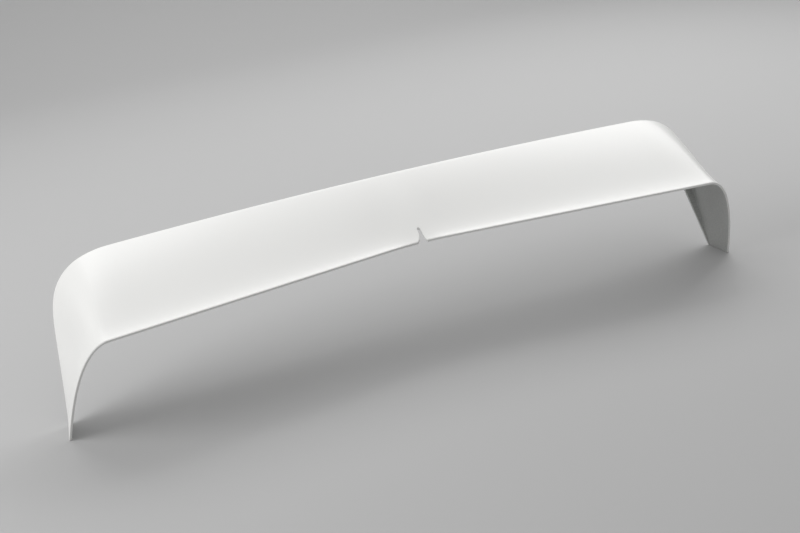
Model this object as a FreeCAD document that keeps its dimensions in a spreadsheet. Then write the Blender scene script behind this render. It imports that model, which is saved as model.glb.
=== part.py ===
# Rear spoiler for a car tailgate: one open-backed glass fibre moulding. A concave blade runs
# between two rounded shoulders that turn down into tapering legs. The tail edge is rolled over
# into a lip, and the front edge has a small notch at the middle.
import FreeCAD
import Part
import Sketcher
import os

document = FreeCAD.newDocument("rear_spoiler")

# Driving sizes, in millimetres and degrees. Sideways sizes count from the middle of the car,
# lengths count back from the line through the two front corners, heights count from the feet.
sizes = {
    "half_span": "610",
    "leg_height": "190",
    "bend_run": "54",
    "foot_splay": "40",
    "front_vee": "76",
    "vee_round": "60",
    "foot_front": "69",
    "foot_tail": "118",
    "leg_waist": "183",
    "tail_end": "196",
    "tail_bow": "20",
    "end_rise": "77",
    "crown": "3",
    "tail_turn": "43",
    "tail_drop": "6.2",
    "leg_fullness": "12",
    "foot_tuck": "5",
    "shoulder_hollow": "16",
    "front_slope": "10",
    "notch_slope": "24",
    "end_slope": "14",
    "middle_slope": "24",
    "foot_slope": "5",
    "front_flat": "0.2",
    "tail_flat": "0.5",
    "nose_radius": "8",
    "foot_nose": "5",
    "lip_depth": "25",
    "foot_lip": "1",
    "wall": "4",
    "notch_width": "34",
    "notch_depth": "27",
    "notch_tip": "3",
    "notch_lean": "8",
}
sheet = document.addObject("Spreadsheet::Sheet", "sizes")
for row, (alias, value) in enumerate(sizes.items(), start=1):
    sheet.set(f"A{row}", alias)
    sheet.set(f"B{row}", value)
    sheet.setAlias(f"B{row}", alias)
document.recompute()


# The value that a size formula has now.
def value_of(formula):
    return float(sheet.evalExpression(formula))


# A formula that runs smoothly from one size to another, pulled by a third on the way.
def blend(share, start, middle, end):
    first = (1 - share) ** 2
    second = 2 * share * (1 - share)
    third = share ** 2
    return f"({first:.6f} * ({start}) + {second:.6f} * ({middle}) + {third:.6f} * ({end}))"


shell = document.addObject("PartDesign::Body", "spoiler_shell")
shell.Label = "spoiler_shell"
planes = {plane.Role: plane for plane in shell.Origin.OriginFeatures}

# The shell is centred front to back: its foremost point lies on the bent corner of the front
# edge and its hindmost on the nose of the tail edge at the middle.
bend_start = "(sizes.half_span - sizes.bend_run)"
bend_setback = "(sizes.front_vee * sizes.bend_run / sizes.half_span)"
foremost = f"({bend_setback} * sizes.foot_front / ({bend_setback} + sizes.foot_front))"
nose_reach = "sizes.nose_radius * (1 + sin(sizes.middle_slope * 1 deg))"
hindmost = f"(sizes.tail_end + sizes.tail_bow + {nose_reach})"
centring = f"(-({foremost} + {hindmost}) / 2)"


# A closed outline in a sketch. Each of its points is held in place by two size formulas.
class Outline:
    def __init__(self, sketch, points):
        self.sketch = sketch
        self.points = points

    def curve(self, poles):
        shape = Part.BSplineCurve(poles, None, None, False, 3, None, False)
        number = self.sketch.addGeometry(shape, False)
        self.sketch.exposeInternalGeometry(number)
        return number

    def arc(self, centre, start, end):
        circle = Part.Circle(centre, FreeCAD.Vector(0, 0, 1), (start - centre).Length)
        shape = Part.ArcOfCircle(circle, circle.parameter(start), circle.parameter(end))
        return self.sketch.addGeometry(shape, False)

    def line(self, start, end):
        return self.sketch.addGeometry(Part.LineSegment(start, end), False)

    def fix(self, geometry, point, index):
        across, along = self.points[index]
        self.size("DistanceX", -1, 1, geometry, point, across)
        self.size("DistanceY", -1, 1, geometry, point, along)

    def size(self, kind, *what):
        formula = what[-1]
        constraint = Sketcher.Constraint(kind, *what[:-1], value_of(formula))
        number = self.sketch.addConstraint(constraint)
        self.sketch.setExpression(f"Constraints[{number}]", formula)

    def join(self, first, first_point, second, second_point):
        constraint = Sketcher.Constraint("Coincident", first, first_point, second, second_point)
        self.sketch.addConstraint(constraint)


# One cross section of the shell, on a plane that stands across the front edge. Its points run
# from the front edge along the outer face, round the nose and down the lip, and back inside.
def add_section(name, place, turn, front, tail, rise, front_slope, tail_slope, nose, lip):
    chord = f"(({tail}) - ({front}))"
    front_run = f"({chord} * sizes.front_flat)"
    tail_run = f"({chord} * sizes.tail_flat)"
    front_angle = f"({front_slope}) * 1 deg"
    tail_angle = f"({tail_slope}) * 1 deg"
    inward_y = f"sizes.wall * sin({tail_angle})"
    inward_z = f"sizes.wall * cos({tail_angle})"
    lip_y = f"({tail}) + ({nose}) * (1 + sin({tail_angle}))"
    nose_z = f"({rise}) - ({nose}) * cos({tail_angle})"
    handle_y = f"({tail}) - {tail_run}"
    handle_z = f"({rise}) - {tail_run} * tan({tail_angle})"
    points = [
        (front, "0"),
        (f"({front}) + {front_run}", f"{front_run} * tan({front_angle})"),
        (handle_y, handle_z),
        (tail, rise),
        (lip_y, nose_z),
        (lip_y, f"{nose_z} - ({lip})"),
        (f"{lip_y} - sizes.wall", f"{nose_z} - ({lip})"),
        (f"{lip_y} - sizes.wall", nose_z),
        (f"({tail}) + {inward_y}", f"({rise}) - {inward_z}"),
        (f"{handle_y} + {inward_y}", f"{handle_z} - {inward_z}"),
        (f"({front}) + {front_run}", f"{front_run} * tan({front_angle}) - sizes.wall"),
        (front, "-sizes.wall"),
    ]
    spots = [FreeCAD.Vector(value_of(y), value_of(z), 0) for y, z in points]
    centre = FreeCAD.Vector(spots[4].x - value_of(nose), spots[4].y, 0)

    sketch = shell.newObject("Sketcher::SketchObject", name)
    sketch.AttachmentSupport = [(planes["YZ_Plane"], "")]
    sketch.MapMode = "FlatFace"
    sketch.AttachmentOffset = FreeCAD.Placement(
        FreeCAD.Vector(0, 0, 0), FreeCAD.Rotation(FreeCAD.Vector(1, 0, 0), 45)
    )
    sketch.setExpression("AttachmentOffset.Base.x", centring)
    sketch.setExpression("AttachmentOffset.Base.y", place[1])
    sketch.setExpression("AttachmentOffset.Base.z", place[0])
    sketch.setExpression("AttachmentOffset.Rotation.Angle", turn)

    shape = Outline(sketch, points)
    outer = shape.curve(spots[0:4])
    nose_outer = shape.arc(centre, spots[4], spots[3])
    lip_outer = shape.line(spots[4], spots[5])
    lip_edge = shape.line(spots[5], spots[6])
    lip_inner = shape.line(spots[6], spots[7])
    nose_inner = shape.arc(centre, spots[7], spots[8])
    inner = shape.curve(spots[8:12])
    front_edge = shape.line(spots[11], spots[0])

    for pole in range(4):
        shape.fix(outer + 1 + pole, 3, pole)
        shape.fix(inner + 1 + pole, 3, 8 + pole)
    shape.join(nose_outer, 2, outer, 2)
    shape.join(nose_outer, 1, lip_outer, 1)
    shape.join(lip_outer, 2, lip_edge, 1)
    shape.join(lip_edge, 2, lip_inner, 1)
    shape.join(lip_inner, 2, nose_inner, 1)
    shape.join(nose_inner, 2, inner, 1)
    shape.join(inner, 2, front_edge, 1)
    shape.join(front_edge, 2, outer, 1)
    shape.fix(lip_outer, 1, 4)
    shape.fix(lip_edge, 1, 5)
    shape.fix(lip_inner, 1, 6)
    shape.fix(lip_inner, 2, 7)
    shape.size("Radius", nose_outer, nose)
    shape.size("Radius", nose_inner, f"({nose}) - sizes.wall")
    return sketch


# The blade: upright sections from the middle out to where the bend of the shoulder starts. The
# tail edge is bowed back and crowned, and starts to fall a little before the bend, so that it
# runs into the shoulder in one sweep.
sections = []


def add_blade_section(name, sideways, front, edge_slope, drop="0"):
    fall = f"(1 - (({sideways}) / {bend_start})^2)"
    sections.append(
        add_section(
            name,
            place=(sideways, "sizes.leg_height"),
            turn="0 deg",
            front=front,
            tail=f"sizes.tail_end + sizes.tail_bow * {fall}",
            rise=f"sizes.end_rise + sizes.crown * {fall} - {drop}",
            front_slope=edge_slope,
            tail_slope=f"sizes.end_slope + (sizes.middle_slope - sizes.end_slope) * {fall}",
            nose="sizes.nose_radius",
            lip="sizes.lip_depth",
        )
    )


# The front edge is a wide vee, rounded at the middle. There a soft swell behind the notch fills
# the hollow of the blade, and runs out within the rounding.
for share in (0, 0.25, 0.5, 0.75, 1):
    rounding = f"{(1 + share ** 2) / 2:.6f} * sizes.vee_round / sizes.half_span"
    swell = 1 - 2 * share ** 2 if share < 0.5 else 2 * (1 - share) ** 2
    add_blade_section(
        f"vee_{round(share * 100):03d}",
        f"{share} * sizes.vee_round",
        front=f"sizes.front_vee * (1 - {rounding})",
        edge_slope=f"sizes.front_slope + {swell:.6f} * (sizes.notch_slope - sizes.front_slope)",
    )

turn_start = f"({bend_start} - sizes.tail_turn)"
blade_places = {
    "blade_half": f"({turn_start} + sizes.vee_round) / 2",
    "turn_start": turn_start,
    "turn_half": f"{turn_start} + sizes.tail_turn / 2",
}
for name, sideways in blade_places.items():
    add_blade_section(
        name,
        sideways,
        front=f"sizes.front_vee * (1 - ({sideways}) / sizes.half_span)",
        edge_slope="sizes.front_slope",
        drop="sizes.tail_drop / 4" if name == "turn_half" else "0",
    )

# The shoulder and the leg: sections that turn with the front edge, from upright at the start
# of the bend to level at the foot. The hollow of the blade runs on round the shoulder and fades
# out down the leg. The leg narrows, and its rolled edge and lip run out towards the foot.
for share in (0, 0.15, 0.3, 0.45, 0.6, 0.8, 1):
    sideways = blend(share, bend_start, "sizes.half_span", "sizes.half_span + sizes.foot_splay")
    height = f"sizes.leg_height * {1 - share ** 2:.6f}"
    edge_angle = f"atan2({share} * sizes.leg_height; {1 - share} * sizes.bend_run"
    edge_angle = f"{edge_angle} + {share} * sizes.foot_splay)"
    foot_angle = "atan2(sizes.leg_height; sizes.foot_splay)"
    even_slope = f"sizes.end_slope - (sizes.end_slope + sizes.foot_slope) * {share}"
    hollow = (4 * share * (1 - share)) ** 2
    sections.append(
        add_section(
            f"leg_{round(share * 100):03d}",
            place=(sideways, height),
            turn=f"90 deg * {edge_angle} / {foot_angle}",
            front=blend(share, bend_setback, "0", "sizes.foot_front"),
            tail=blend(share, "sizes.tail_end", "sizes.leg_waist", "sizes.foot_tail"),
            rise=blend(share, "sizes.end_rise - sizes.tail_drop", "sizes.leg_fullness", "-sizes.foot_tuck"),
            front_slope=blend(share, "sizes.front_slope", "sizes.front_slope", "sizes.foot_slope"),
            tail_slope=f"{even_slope} + sizes.shoulder_hollow * {hollow:.6f}",
            nose=f"sizes.nose_radius + (sizes.foot_nose - sizes.nose_radius) * {share}",
            lip=f"sizes.foot_lip + (sizes.lip_depth - sizes.foot_lip) * {1 - share ** 2:.6f}",
        )
    )
document.recompute()

# The skin in five lofts that run on smoothly from one to the next.
spans = {
    "swell_skin": ("vee_000", "vee_050"),
    "vee_skin": ("vee_050", "vee_100"),
    "blade_skin": ("vee_100", "turn_start"),
    "turn_skin": ("turn_start", "leg_000"),
    "leg_skin": ("leg_000", "leg_100"),
}
names = [section.Name for section in sections]
skins = []
for name, (first, last) in spans.items():
    skin = shell.newObject("PartDesign::AdditiveLoft", name)
    skin.Profile = sections[names.index(first)]
    skin.Sections = sections[names.index(first) + 1 : names.index(last) + 1]
    skin.Ruled = False
    skin.Closed = False
    document.recompute()
    skins.append(skin)

both_sides = shell.newObject("PartDesign::Mirrored", "both_sides")
both_sides.Originals = skins
both_sides.MirrorPlane = (planes["YZ_Plane"], [""])
shell.Tip = both_sides
document.recompute()

# The notch in the middle of the front edge, seen from above: two sweeping flanks that run into
# a narrow round tip. It is trimmed out of the finished shell, so it cuts straight down.
edge = f"({centring} + sizes.front_vee * (1 - sizes.vee_round / (2 * sizes.half_span)))"
mouth = f"({edge} - sizes.wall)"
ahead = f"({edge} - sizes.notch_width)"
shoulder = f"({edge} + sizes.notch_depth / 3)"
tip = f"({edge} + sizes.notch_depth - sizes.notch_tip)"
left_tip = "(sizes.notch_lean - sizes.notch_tip)"
right_tip = "(sizes.notch_lean + sizes.notch_tip)"
left_mouth = "(-sizes.notch_width / 2)"
right_mouth = "(sizes.notch_width / 2)"
left_sweep = f"({left_mouth} / 3 + {left_tip} / 2)"
right_sweep = f"({right_mouth} / 3 + {right_tip} / 2)"
notch_points = [
    (left_mouth, mouth),
    (left_sweep, mouth),
    (left_tip, shoulder),
    (left_tip, tip),
    (right_tip, tip),
    (right_tip, shoulder),
    (right_sweep, mouth),
    (right_mouth, mouth),
    (right_mouth, ahead),
    (left_mouth, ahead),
]
notch_spots = [FreeCAD.Vector(value_of(x), value_of(y), 0) for x, y in notch_points]
notch_outline = shell.newObject("Sketcher::SketchObject", "notch_outline")
notch_outline.AttachmentSupport = [(planes["XY_Plane"], "")]
notch_outline.MapMode = "FlatFace"
notch_shape = Outline(notch_outline, notch_points)
left_flank = notch_shape.curve(notch_spots[0:4])
tip_centre = (notch_spots[3] + notch_spots[4]) / 2
tip_round = notch_shape.arc(tip_centre, notch_spots[4], notch_spots[3])
right_flank = notch_shape.curve(notch_spots[4:8])
right_side = notch_shape.line(notch_spots[7], notch_spots[8])
front_side = notch_shape.line(notch_spots[8], notch_spots[9])
left_side = notch_shape.line(notch_spots[9], notch_spots[0])
for pole in range(4):
    notch_shape.fix(left_flank + 1 + pole, 3, pole)
    notch_shape.fix(right_flank + 1 + pole, 3, 4 + pole)
notch_shape.join(tip_round, 2, left_flank, 2)
notch_shape.join(tip_round, 1, right_flank, 1)
notch_shape.join(right_side, 1, right_flank, 2)
notch_shape.join(right_side, 2, front_side, 1)
notch_shape.join(front_side, 2, left_side, 1)
notch_shape.join(left_side, 2, left_flank, 1)
notch_shape.fix(front_side, 1, 8)
notch_shape.fix(front_side, 2, 9)
notch_shape.size("DistanceY", -1, 1, tip_round, 3, tip)
document.recompute()

volume_before = shell.Shape.Volume
notch = shell.newObject("PartDesign::Pocket", "notch")
notch.Profile = notch_outline
notch.Type = "ThroughAll"
notch.Reversed = True
shell.Tip = notch
document.recompute()

faulty = [item.Name for item in document.Objects if {"Invalid", "Error"} & set(item.State)]
if faulty or shell.Shape.isNull() or not shell.Shape.isValid():
    raise RuntimeError(f"the shell did not build: {faulty}")
if not 0 < volume_before - shell.Shape.Volume < 0.01 * volume_before:
    raise RuntimeError("the notch did not cut the front edge")
os.makedirs("parts", exist_ok=True)
shell.Shape.exportStep("parts/spoiler_shell.step")
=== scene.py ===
import math

import bpy
from mathutils import Matrix, Vector


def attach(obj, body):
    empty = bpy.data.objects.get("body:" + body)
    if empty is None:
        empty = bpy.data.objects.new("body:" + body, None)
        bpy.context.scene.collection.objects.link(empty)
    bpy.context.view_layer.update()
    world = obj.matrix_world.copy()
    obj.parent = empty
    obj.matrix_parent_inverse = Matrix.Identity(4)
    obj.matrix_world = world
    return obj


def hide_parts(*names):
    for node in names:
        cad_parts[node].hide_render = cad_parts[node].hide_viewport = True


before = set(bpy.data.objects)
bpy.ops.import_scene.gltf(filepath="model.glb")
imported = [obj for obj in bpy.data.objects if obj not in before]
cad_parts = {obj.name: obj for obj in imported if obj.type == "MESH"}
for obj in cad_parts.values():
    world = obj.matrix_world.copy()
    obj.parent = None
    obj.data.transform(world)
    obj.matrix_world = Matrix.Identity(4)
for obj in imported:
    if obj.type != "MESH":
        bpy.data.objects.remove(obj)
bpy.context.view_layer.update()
scene = bpy.context.scene
scene.view_settings.view_transform = "Standard"


# The spoiler shell: one hollow glass fibre moulding, laid up by hand in a polished mould and
# trimmed afterwards. It is bonded to the car's tail under its front edge and at its feet.
def srgb(hex_colour):
    parts = [int(hex_colour[i : i + 2], 16) / 255 for i in (1, 3, 5)]
    linear = [p / 12.92 if p <= 0.04045 else ((p + 0.055) / 1.055) ** 2.4 for p in parts]
    return (*linear, 1.0)


def add_node(material, kind, inputs=None, **settings):
    node = material.node_tree.nodes.new(kind)
    for name, value in settings.items():
        setattr(node, name, value)
    for name, value in (inputs or {}).items():
        if isinstance(value, bpy.types.NodeSocket):
            material.node_tree.links.new(value, node.inputs[name])
        else:
            node.inputs[name].default_value = value
    return node


# A noise texture goes through one light and one dark patch in 1 / scale metres.
def noise_scale(size_in_mm):
    return 1000.0 / size_in_mm


# Gelcoat, the outer skin of the spoiler: white polyester sprayed into a polished mould. It is
# glossy but not dead flat, as the mould's long waves and the mat behind it print through a little.
gelcoat = bpy.data.materials.new("white_gelcoat")
gelcoat.use_nodes = True
place = add_node(gelcoat, "ShaderNodeTexCoord")
mould_wave, print_through, spray_peel = 330.0, 70.0, 2.4
clouds = add_node(
    gelcoat,
    "ShaderNodeTexNoise",
    {"Vector": place.outputs["Object"], "Scale": noise_scale(mould_wave), "Detail": 1.0},
)
tone = add_node(gelcoat, "ShaderNodeValToRGB", {"Fac": clouds.outputs["Fac"]})
tone.color_ramp.elements[0].position = 0.3
tone.color_ramp.elements[0].color = srgb("#EEEEEC")
tone.color_ramp.elements[1].position = 0.7
tone.color_ramp.elements[1].color = srgb("#F0F0EE")
polish = add_node(
    gelcoat,
    "ShaderNodeMapRange",
    {"Value": clouds.outputs["Fac"], "To Min": 0.34, "To Max": 0.42},
)
waves = add_node(
    gelcoat,
    "ShaderNodeTexNoise",
    {"Vector": place.outputs["Object"], "Scale": noise_scale(print_through), "Detail": 1.0},
)
wave_bump = add_node(
    gelcoat, "ShaderNodeBump", {"Height": waves.outputs["Fac"], "Strength": 0.25, "Distance": 0.0006}
)
peel = add_node(
    gelcoat,
    "ShaderNodeTexNoise",
    {"Vector": place.outputs["Object"], "Scale": noise_scale(spray_peel), "Detail": 2.0},
)
peel_bump = add_node(
    gelcoat,
    "ShaderNodeBump",
    {
        "Height": peel.outputs["Fac"],
        "Strength": 0.12,
        "Distance": 0.00012,
        "Normal": wave_bump.outputs["Normal"],
    },
)
shader = gelcoat.node_tree.nodes["Principled BSDF"]
gelcoat.node_tree.links.new(tone.outputs["Color"], shader.inputs["Base Color"])
gelcoat.node_tree.links.new(polish.outputs["Result"], shader.inputs["Roughness"])
gelcoat.node_tree.links.new(peel_bump.outputs["Normal"], shader.inputs["Normal"])
shader.inputs["Specular IOR Level"].default_value = 0.5
shader.inputs["Coat Weight"].default_value = 0.15
shader.inputs["Coat Roughness"].default_value = 0.2


# Laminate, the inside of the shell: chopped glass strands, laid by hand in grey resin and rolled
# out. The strands cross at every angle and stand a little proud of the resin, which is duller
# than the gelcoat and darker. Its grey is partly the laminate's own colour and partly painted shade,
# kept dark so that the inside of the legs looks shaded. A strand is one light patch, so half a cycle of its
# noise.
laminate_and_painted_shade = bpy.data.materials.new("hand_laid_laminate_and_painted_shade")
laminate_and_painted_shade.use_nodes = True
place = add_node(laminate_and_painted_shade, "ShaderNodeTexCoord")
strand_length, strand_width, resin_pool = 50.0, 0.8, 33.0
along, across = noise_scale(2 * strand_length), noise_scale(2 * strand_width)
height = None
for turn in (0.3, 1.1, 1.9, 2.7):
    spin = add_node(
        laminate_and_painted_shade,
        "ShaderNodeMapping",
        {
            "Vector": place.outputs["Object"],
            "Rotation": (turn * 0.7, turn * 0.5, turn),
            "Scale": (along, across, across),
        },
    )
    strand = add_node(
        laminate_and_painted_shade,
        "ShaderNodeTexNoise",
        {"Vector": spin.outputs["Vector"], "Scale": 1.0, "Detail": 1.0},
    )
    if height is None:
        height = strand.outputs["Fac"]
    else:
        height = add_node(
            laminate_and_painted_shade, "ShaderNodeMath", {0: height, 1: strand.outputs["Fac"]}, operation="MAXIMUM"
        ).outputs["Value"]
resin = add_node(
    laminate_and_painted_shade,
    "ShaderNodeTexNoise",
    {"Vector": place.outputs["Object"], "Scale": noise_scale(resin_pool), "Detail": 4.0},
)
# Painted shade in part: these two greys are darker than the laminate alone, to stand in for the shade
# inside the legs.
tone = add_node(laminate_and_painted_shade, "ShaderNodeValToRGB", {"Fac": height})
tone.color_ramp.elements[0].position = 0.5
tone.color_ramp.elements[0].color = srgb("#A9AAA8")
tone.color_ramp.elements[1].position = 0.8
tone.color_ramp.elements[1].color = srgb("#C2C3C1")
wet = add_node(
    laminate_and_painted_shade,
    "ShaderNodeMapRange",
    {"Value": resin.outputs["Fac"], "To Min": 0.42, "To Max": 0.75},
)
fibre_bump = add_node(
    laminate_and_painted_shade, "ShaderNodeBump", {"Height": height, "Strength": 0.6, "Distance": 0.0006}
)
pool_bump = add_node(
    laminate_and_painted_shade,
    "ShaderNodeBump",
    {
        "Height": resin.outputs["Fac"],
        "Strength": 0.4,
        "Distance": 0.0012,
        "Normal": fibre_bump.outputs["Normal"],
    },
)
shader = laminate_and_painted_shade.node_tree.nodes["Principled BSDF"]
laminate_and_painted_shade.node_tree.links.new(tone.outputs["Color"], shader.inputs["Base Color"])
laminate_and_painted_shade.node_tree.links.new(wet.outputs["Result"], shader.inputs["Roughness"])
laminate_and_painted_shade.node_tree.links.new(pool_bump.outputs["Normal"], shader.inputs["Normal"])


# The trimmed edge, where the laminate was sawn and sanded after moulding: matt, a little greyer
# than the gelcoat, with fine sanding marks. The marks are drawn about five times coarser than
# those of the paper, so that they show at all.
cut_edge = bpy.data.materials.new("sanded_edge")
cut_edge.use_nodes = True
place = add_node(cut_edge, "ShaderNodeTexCoord")
sanding_mark = 1.1
grit = add_node(
    cut_edge,
    "ShaderNodeTexNoise",
    {"Vector": place.outputs["Object"], "Scale": noise_scale(sanding_mark), "Detail": 3.0},
)
tone = add_node(cut_edge, "ShaderNodeValToRGB", {"Fac": grit.outputs["Fac"]})
tone.color_ramp.elements[0].position = 0.3
tone.color_ramp.elements[0].color = srgb("#D5D5D3")
tone.color_ramp.elements[1].position = 0.7
tone.color_ramp.elements[1].color = srgb("#E6E6E4")
grit_bump = add_node(
    cut_edge,
    "ShaderNodeBump",
    {"Height": grit.outputs["Fac"], "Strength": 0.3, "Distance": 0.0002},
)
shader = cut_edge.node_tree.nodes["Principled BSDF"]
cut_edge.node_tree.links.new(tone.outputs["Color"], shader.inputs["Base Color"])
cut_edge.node_tree.links.new(grit_bump.outputs["Normal"], shader.inputs["Normal"])
shader.inputs["Roughness"].default_value = 0.6


# The shell's form, in millimetres: cross sections stand along the front edge, upright on the
# blade, and turn over the shoulder until they lie level at the foot.
half_span, leg_height, bend_run, foot_splay = 610.0, 190.0, 54.0, 40.0
front_vee, vee_round = 76.0, 60.0
foot_front, foot_tail, leg_waist, foot_tuck = 69.0, 118.0, 183.0, 5.0
tail_end, tail_bow, end_rise, crown = 196.0, 20.0, 77.0, 3.0
tail_turn, tail_drop, leg_fullness, shoulder_hollow = 43.0, 6.2, 12.0, 16.0
front_slope, notch_slope, end_slope, middle_slope, foot_slope = 10.0, 24.0, 14.0, 24.0, 5.0
front_flat, tail_flat = 0.2, 0.5
nose_radius, foot_nose, lip_depth, foot_lip, wall, soft = 8.0, 5.0, 25.0, 1.0, 4.0, 0.9
notch_width, notch_depth, notch_tip, notch_lean = 34.0, 27.0, 3.0, 8.0
bend_start = half_span - bend_run
bend_setback = front_vee * bend_run / half_span
foremost = bend_setback * foot_front / (bend_setback + foot_front)
hindmost = tail_end + tail_bow + nose_radius * (1 + math.sin(math.radians(middle_slope)))
centring = -(foremost + hindmost) / 2
uncut = -1e9
round_steps, skin_steps, nose_steps, lip_steps = 4, 72, 14, 10
front_points = 2 * (round_steps + 1)


def cubic(poles, t):
    weights = ((1 - t) ** 3, 3 * t * (1 - t) ** 2, 3 * t * t * (1 - t), t**3)
    return tuple(sum(w * p[i] for w, p in zip(weights, poles)) for i in (0, 1))


def rounded(before, corner, after):
    steps = [k / round_steps for k in range(round_steps + 1)]
    return [
        tuple((1 - t) ** 2 * a + 2 * t * (1 - t) * c + t * t * b for a, c, b in zip(before, corner, after))
        for t in steps
    ]


# One ring of points round a section, as (material, y, height) in the plane of the section. The
# faces draw in by the inset, which rounds off the end of the foot.
def ring(front, tail, rise, front_angle, tail_angle, nose, lip, inset, cut):
    a, b = math.radians(front_angle), math.radians(tail_angle)
    chord = tail - front
    inward = (math.sin(b), -math.cos(b))
    outer = [
        (front, -inset),
        (front + front_flat * chord, front_flat * chord * math.tan(a) - inset),
        (
            tail - tail_flat * chord + inset * inward[0],
            rise - tail_flat * chord * math.tan(b) + inset * inward[1],
        ),
        (tail + inset * inward[0], rise + inset * inward[1]),
    ]
    thick = wall - 2 * inset
    inner = [
        (outer[0][0], outer[0][1] - thick),
        (outer[1][0], outer[1][1] - thick),
        (outer[2][0] + thick * inward[0], outer[2][1] + thick * inward[1]),
        (outer[3][0] + thick * inward[0], outer[3][1] + thick * inward[1]),
    ]

    def start_of(poles, y):
        low, high = 0.0, 1.0
        for _ in range(40):
            middle = (low + high) / 2
            low, high = (middle, high) if cubic(poles, middle)[0] < y else (low, middle)
        return low

    edge = max(front + inset, cut)
    corner_run = min(soft, thick / 2 - 0.05)
    outer_corner = cubic(outer, start_of(outer, edge))
    inner_corner = cubic(inner, start_of(inner, edge))
    outer_first = start_of(outer, edge + corner_run)
    inner_first = start_of(inner, edge + corner_run)
    centre = (tail + nose * math.sin(b), rise - nose * math.cos(b))
    big, small = nose - inset, nose - wall + inset
    start_angle = math.pi / 2 + b
    turns = [start_angle * (1 - k / nose_steps) for k in range(1, nose_steps)]
    lip_y, lip_end = centre[0] + big, centre[1] - lip + inset
    lip_top = centre[1]
    drop = lip_end - lip_top

    inner_round = rounded((edge, inner_corner[1] + corner_run), inner_corner, cubic(inner, inner_first))
    outer_round = rounded((edge, outer_corner[1] - corner_run), outer_corner, cubic(outer, outer_first))
    points = [(2, p) for p in reversed(inner_round)]
    points += [(2, p) for p in outer_round]
    skin = [outer_first + (1 - outer_first) * k / skin_steps for k in range(1, skin_steps + 1)]
    points += [(0, cubic(outer, t)) for t in skin]
    points += [(0, (centre[0] + big * math.cos(t), centre[1] + big * math.sin(t))) for t in turns]
    lip_fall = drop + corner_run
    points += [(0, (lip_y, lip_top + lip_fall * k / lip_steps)) for k in range(lip_steps)]
    lip_in = lip_y - thick
    out_low, in_low = (lip_y, lip_end), (lip_in, lip_end)
    points += [
        (2, p) for p in rounded((lip_y, lip_end + corner_run), out_low, (lip_y - corner_run, lip_end))
    ]
    points += [
        (2, p) for p in rounded((lip_in + corner_run, lip_end), in_low, (lip_in, lip_end + corner_run))
    ]
    lip_rise = lip_top - lip_end - corner_run
    lip_base = lip_end + corner_run
    points += [(1, (lip_in, lip_base + lip_rise * k / lip_steps)) for k in range(1, lip_steps + 1)]
    points += [
        (1, (centre[0] + small * math.cos(t), centre[1] + small * math.sin(t))) for t in reversed(turns)
    ]
    points += [(1, cubic(inner, 1 - (1 - inner_first) * k / skin_steps)) for k in range(skin_steps)]
    return points


def mix(share, start, middle, end):
    return (1 - share) ** 2 * start + 2 * share * (1 - share) * middle + share**2 * end


# Stations from the middle to the right foot, each as (side, height, turn, ring). The left half
# mirrors them, apart from the notch, whose tip leans to the right.
def blade_station(x, cut=uncut):
    side = abs(x)
    fall = 1 - (side / bend_start) ** 2
    front = front_vee * (1 - side / half_span)
    swell = 0.0
    if side < vee_round:
        share = side / vee_round
        swell = 1 - 2 * share**2 if share < 0.5 else 2 * (1 - share) ** 2
        front = front_vee * (1 - (side**2 + vee_round**2) / (2 * vee_round * half_span))
    slope = end_slope + (middle_slope - end_slope) * fall
    past_turn = max(0.0, side - bend_start + tail_turn) / tail_turn
    rise = end_rise + crown * fall - tail_drop * past_turn**2
    edge_slope = front_slope + (notch_slope - front_slope) * swell
    tail = tail_end + tail_bow * fall
    points = ring(front, tail, rise, edge_slope, slope, nose_radius, lip_depth, 0.0, cut)
    return (x, leg_height, 0.0, points)


def leg_station(share, inset=0.0):
    side = mix(share, bend_start, half_span, half_span + foot_splay)
    height = leg_height * (1 - share**2)
    turn = math.atan2(share * leg_height, (1 - share) * bend_run + share * foot_splay)
    turn *= math.radians(90) / math.atan2(leg_height, foot_splay)
    points = ring(
        mix(share, bend_setback, 0.0, foot_front),
        mix(share, tail_end, leg_waist, foot_tail),
        mix(share, end_rise - tail_drop, leg_fullness, -foot_tuck),
        mix(share, front_slope, front_slope, foot_slope),
        end_slope - (end_slope + foot_slope) * share + shoulder_hollow * (4 * share * (1 - share)) ** 2,
        nose_radius + (foot_nose - nose_radius) * share,
        foot_lip + (lip_depth - foot_lip) * (1 - share**2),
        inset,
        uncut,
    )
    return (side, height, turn, points)


# The notch from the left mouth over the tip to the right mouth, as cuts across the front edge.
edge_y = front_vee * (1 - vee_round / (2 * half_span))
mouth, shoulder, tip = edge_y - wall, edge_y + notch_depth / 3, edge_y + notch_depth - notch_tip
left_tip, right_tip = notch_lean - notch_tip, notch_lean + notch_tip
left_mouth, right_mouth = -notch_width / 2, notch_width / 2
left_flank = [
    (left_mouth, mouth),
    (left_mouth / 3 + left_tip / 2, mouth),
    (left_tip, shoulder),
    (left_tip, tip),
]
right_flank = [
    (right_tip, tip),
    (right_tip, shoulder),
    (right_mouth / 3 + right_tip / 2, mouth),
    (right_mouth, mouth),
]
flank_steps, tip_steps = 28, 14
notch = [cubic(left_flank, k / flank_steps) for k in range(flank_steps)]
tip_turns = [math.pi * k / tip_steps for k in range(tip_steps + 1)]
notch += [(notch_lean - notch_tip * math.cos(t), tip + notch_tip * math.sin(t)) for t in tip_turns]
notch += [cubic(right_flank, k / flank_steps) for k in range(1, flank_steps + 1)]

blade_steps, leg_steps, foot_steps = 48, 80, 6
blade_run = bend_start - right_mouth
blade_sides = [right_mouth + blade_run * k / blade_steps for k in range(1, blade_steps)]
leg_shares = [k / leg_steps for k in range(leg_steps)]
foot_shares = []
for k in range(foot_steps + 1):
    bend = math.pi / 2 * k / foot_steps
    lift = soft * (1 - math.sin(bend))
    foot_shares.append((math.sqrt(1 - lift / leg_height), soft * (1 - math.cos(bend))))

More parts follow.
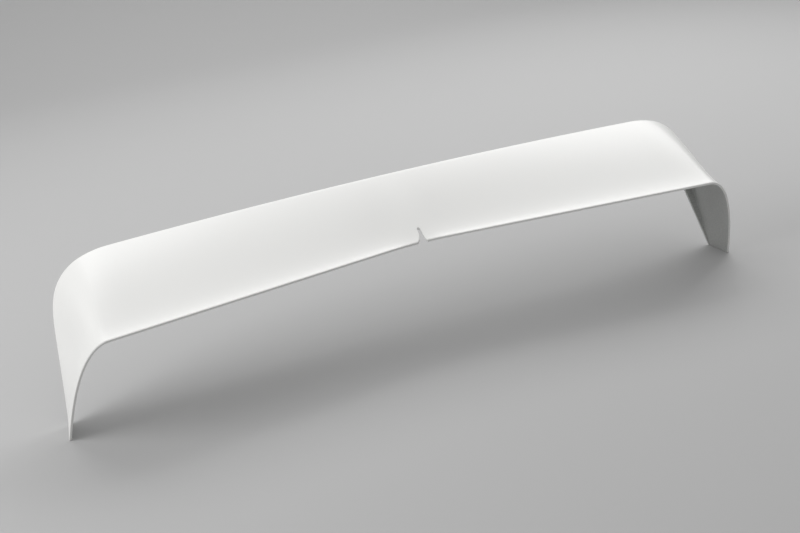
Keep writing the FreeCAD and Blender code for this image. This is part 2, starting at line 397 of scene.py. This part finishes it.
right_side = [blade_station(x) for x in blade_sides]
right_side += [leg_station(share) for share in leg_shares]
right_side += [leg_station(share, inset) for share, inset in foot_shares]
left_side = [(-side, height, -turn, points) for side, height, turn, points in reversed(right_side)]
stations = left_side + [blade_station(x, cut) for x, cut in notch] + right_side

vertices, faces, kinds = [], [], []
for side, height, turn, points in stations:
    for _, (y, rise) in points:
        spot = (side + rise * math.sin(turn), y + centring, height + rise * math.cos(turn))
        vertices.append(tuple(value / 1000 for value in spot))
count = len(stations[0][3])
for row in range(len(stations) - 1):
    for k in range(count):
        after = (k + 1) % count
        faces.append(
            (row * count + k, (row + 1) * count + k, (row + 1) * count + after, row * count + after)
        )
        kinds.append(stations[0][3][k][0])
for row, flip in ((0, False), (len(stations) - 1, True)):
    cap = [row * count + k for k in range(count)]
    for k in range(front_points // 2, (count + front_points) // 2 - 1):
        across = front_points - 1 - k
        quad = (cap[k], cap[k + 1], cap[(across - 1) % count], cap[across % count])
        faces.append(quad if flip else quad[::-1])
        kinds.append(2)

mesh = bpy.data.meshes.new("spoiler_skin")
mesh.from_pydata(vertices, [], faces)
for material in (gelcoat, laminate_and_painted_shade, cut_edge):
    mesh.materials.append(material)
mesh.polygons.foreach_set("material_index", kinds)
mesh.polygons.foreach_set("use_smooth", [True] * len(faces))
mesh.validate()
mesh.update()
shell = bpy.data.objects.new("spoiler_skin", mesh)
scene.collection.objects.link(shell)
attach(shell, "root")
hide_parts("spoiler_shell")


# The floor: a plain pale studio sheet, matt, that sweeps up behind the spoiler.
floor_paint = bpy.data.materials.new("studio_sheet")
floor_paint.use_nodes = True
shader = floor_paint.node_tree.nodes["Principled BSDF"]
shader.inputs["Base Color"].default_value = srgb("#B6B6B6")
shader.inputs["Roughness"].default_value = 0.9
shader.inputs["Specular IOR Level"].default_value = 0.1
floor_front, sweep_start, sweep_radius, wall_top, half_width = -40.0, 2.2, 1.2, 5.0, 20.0
sweep = [(floor_front, 0.0), (sweep_start, 0.0)]
for k in range(1, 17):
    bend = math.pi / 2 * k / 16
    sweep.append((sweep_start + sweep_radius * math.sin(bend), sweep_radius * (1 - math.cos(bend))))
sweep.append((sweep_start + sweep_radius, wall_top))
floor_mesh = bpy.data.meshes.new("studio_floor")
floor_mesh.from_pydata(
    [(x, y, z) for y, z in sweep for x in (-half_width, half_width)],
    [],
    [(2 * k, 2 * k + 1, 2 * k + 3, 2 * k + 2) for k in range(len(sweep) - 1)],
)
floor_mesh.polygons.foreach_set("use_smooth", [True] * (len(sweep) - 1))
floor_mesh.materials.append(floor_paint)
floor = bpy.data.objects.new("studio_floor", floor_mesh)
scene.collection.objects.link(floor)


# Studio light: three soft boxes, behind, behind to the right and to the left, and pale even light
# all round. The camera sees the surroundings in the tone of the far floor, so no edge shows.
def add_lamp(name, spot, target, size, watts):
    lamp = bpy.data.lights.new(name, "AREA")
    lamp.shape = "RECTANGLE"
    lamp.size, lamp.size_y = size
    lamp.energy = watts
    holder = bpy.data.objects.new(name, lamp)
    holder.location = spot
    direction = Vector(target) - Vector(spot)
    holder.rotation_euler = direction.to_track_quat("-Z", "Y").to_euler()
    scene.collection.objects.link(holder)


add_lamp("tail_box", (0.0, 1.7, 2.2), (0.0, 0.0, 0.2), (3.0, 1.6), 30)
add_lamp("right_box", (1.9, 1.2, 2.0), (0.0, 0.0, 0.2), (1.8, 1.8), 27)
add_lamp("left_box", (-2.5, 0.0, 1.5), (0.0, 0.0, 0.2), (1.6, 1.6), 33)
world = bpy.data.worlds.new("studio_world")
world.use_nodes = True
around = world.node_tree.nodes["Background"]
around.inputs["Color"].default_value = srgb("#E0E0E0")
around.inputs["Strength"].default_value = 0.65
seen = add_node(world, "ShaderNodeBackground", {"Color": srgb("#818181"), "Strength": 1.0})
path = add_node(world, "ShaderNodeLightPath")
either = add_node(
    world,
    "ShaderNodeMixShader",
    {0: path.outputs["Is Camera Ray"], 1: around.outputs["Background"], 2: seen.outputs["Background"]},
)
world.node_tree.links.new(either.outputs["Shader"], world.node_tree.nodes["World Output"].inputs["Surface"])
scene.world = world


# The camera stands in front of the car's tail, to the left and above, and is tipped a little.
camera_data = bpy.data.cameras.new("camera")
camera_data.sensor_width = 36.0
camera_data.lens = 50.5
camera_data.clip_end = 50.0
camera = bpy.data.objects.new("camera", camera_data)
camera.matrix_world = (
    Matrix.Translation((-0.6380, -1.7271, 0.9774))
    @ Matrix.Rotation(math.radians(-19.47), 4, "Z")
    @ Matrix.Rotation(math.radians(90 - 24.78), 4, "X")
    @ Matrix.Rotation(math.radians(-6.30), 4, "Z")
)
scene.collection.objects.link(camera)
scene.camera = camera
